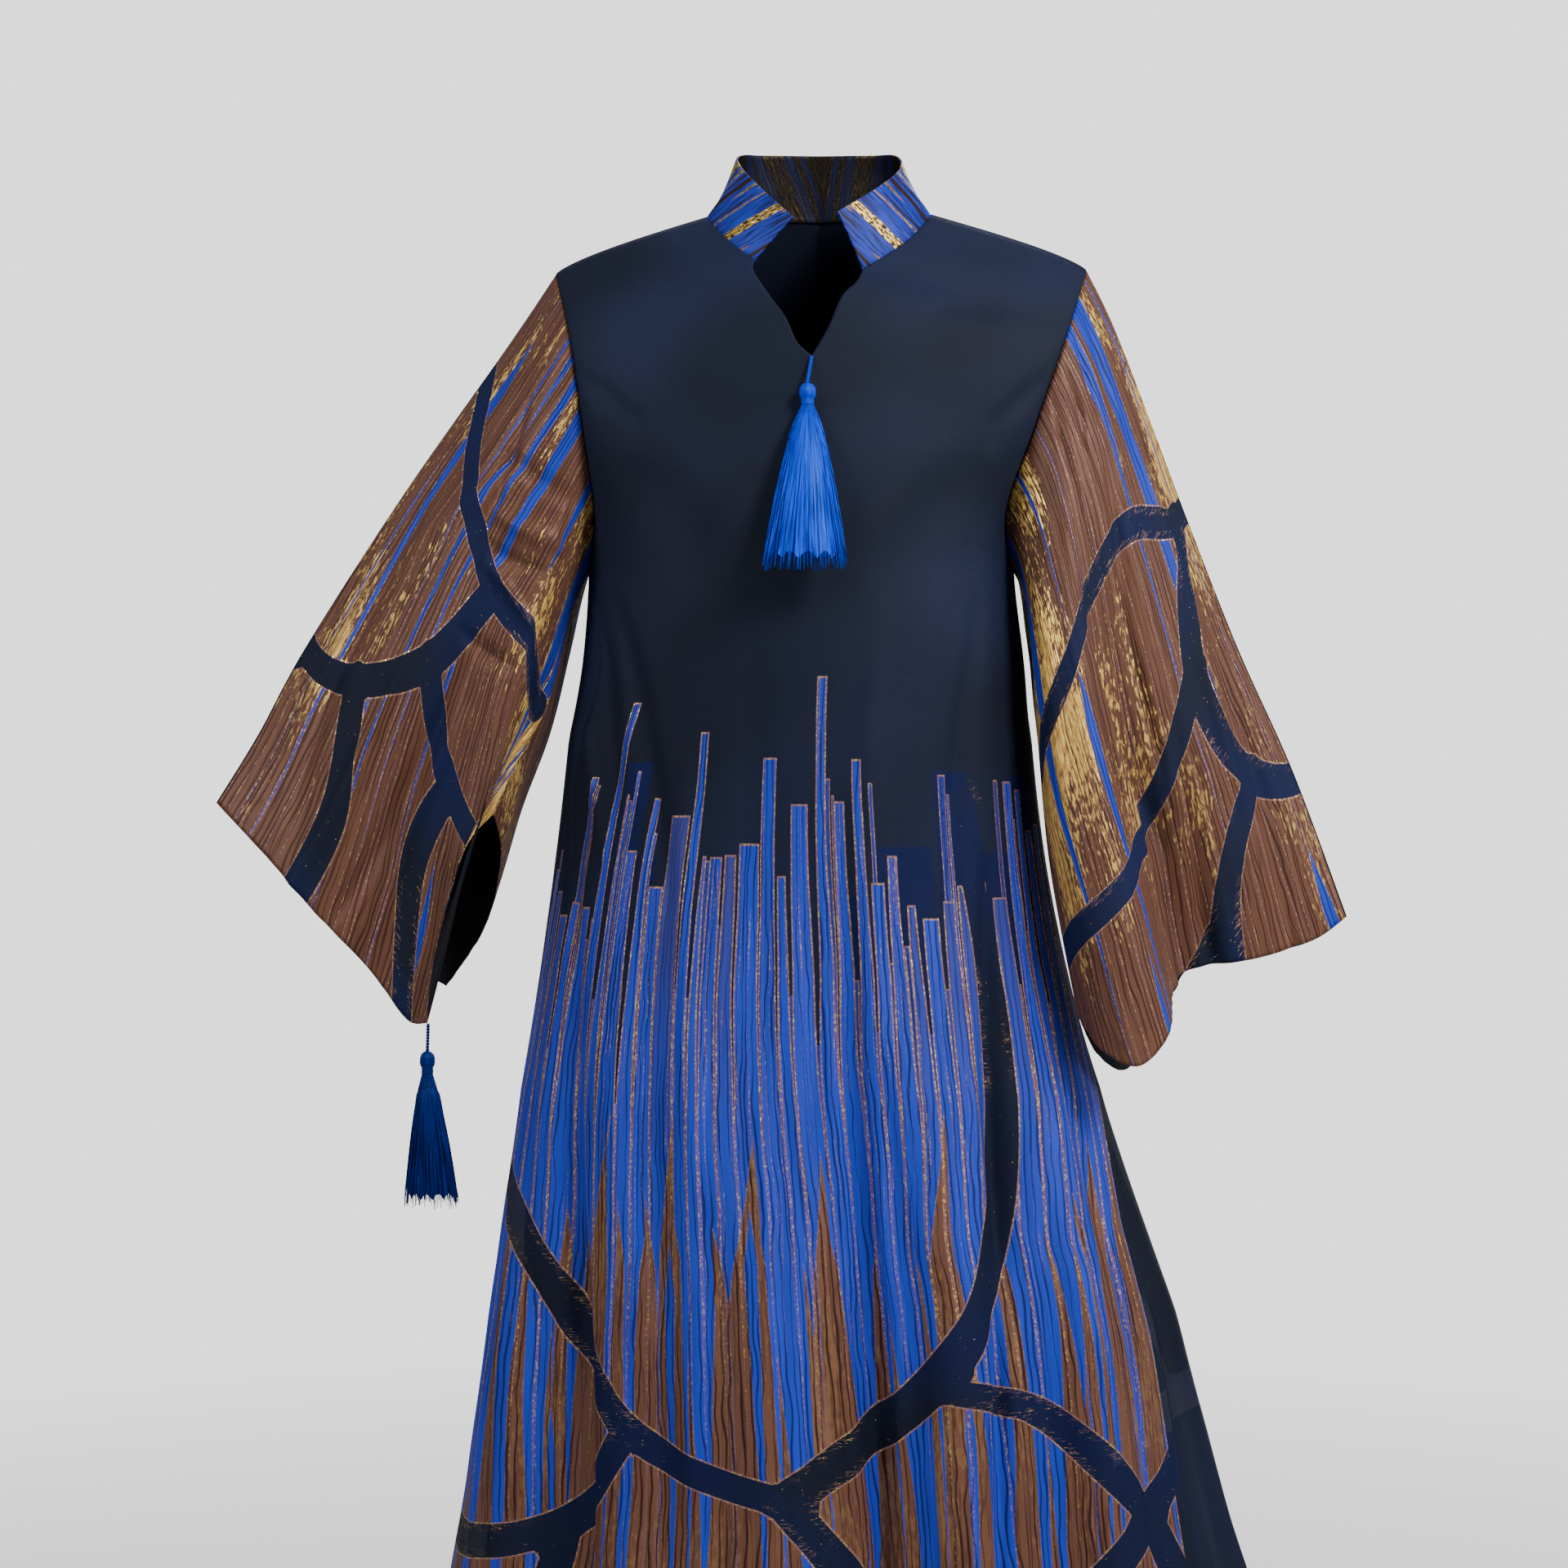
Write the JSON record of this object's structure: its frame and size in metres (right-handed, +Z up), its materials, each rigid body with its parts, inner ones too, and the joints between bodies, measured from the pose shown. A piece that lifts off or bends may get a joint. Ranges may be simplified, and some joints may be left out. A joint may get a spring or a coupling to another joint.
{
  "type": "abaya",
  "caption": "Floor-length A-line abaya in worn form, with a stand collar, V neck, wide pointed bell sleeves and hanging thread tassels.",
  "frame": {"origin": "where the wearer's shoulders carry the garment: between the neck ends of the two shoulder seams, in the plane of those seams", "axes": "+Z up the body, the front faces -Y, +X to the right of someone who looks at the front"},
  "size_m": [0.9161, 0.5359, 1.4928],
  "materials": {
    "front_cloth": "black-navy organza bodice that turns into crinkled blue and bronze jacquard with a metallic thread",
    "back_cloth": "sheer black-navy organza with the same jacquard in the middle",
    "sleeve_cloth": "bronze and blue jacquard with gold metallic thread, black inside",
    "collar_cloth": "blue jacquard with slanting gold stripes, interfaced",
    "lining": "smooth black satin",
    "tassel_thread": "bright blue rayon thread"
  },
  "bodies": {
    "root": {"front_panel": "front_cloth", "back_panel": "back_cloth", "sleeve_left_front": "sleeve_cloth", "sleeve_left_back": "sleeve_cloth", "sleeve_right_front": "sleeve_cloth", "sleeve_right_back": "sleeve_cloth", "stand_collar": "collar_cloth", "lining_slip": "lining", "chest_tassel": "tassel_thread", "chest_tassel_cord": "tassel_thread", "sleeve_tassel": "tassel_thread", "sleeve_tassel_cord": "tassel_thread"}
  },
  "joints": []
}
